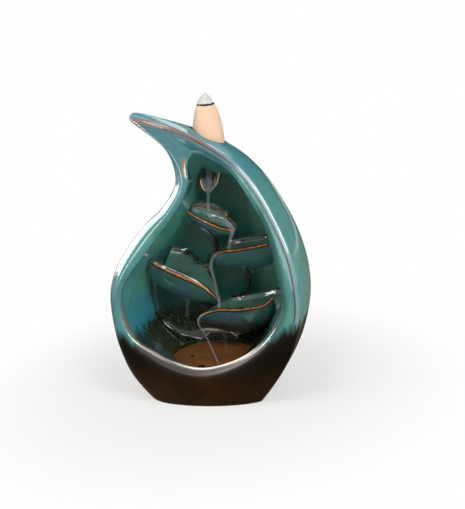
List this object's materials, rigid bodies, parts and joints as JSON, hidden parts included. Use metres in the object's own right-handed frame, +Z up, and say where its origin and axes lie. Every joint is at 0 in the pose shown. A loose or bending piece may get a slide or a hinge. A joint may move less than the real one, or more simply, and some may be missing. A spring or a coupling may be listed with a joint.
{
  "type": "backflow incense burner",
  "caption": "Glazed stoneware backflow incense burner: hooked teardrop shell open at the front, where a spout and curled leaves lead smoke from the cone on top down to a basin.",
  "frame": {"origin": "on the flat foot, under the middle of the open front's outline", "axes": "+Z up, from the foot to the tip of the horn; -Y out of the open front; +X to the right as seen from the front, away from the horn"},
  "size_m": [0.0945, 0.0518, 0.15],
  "materials": {
    "glaze": "glossy",
    "incense": "matte"
  },
  "bodies": {
    "root": {"burner_body": "glaze", "incense_cone": "incense"}
  },
  "joints": []
}
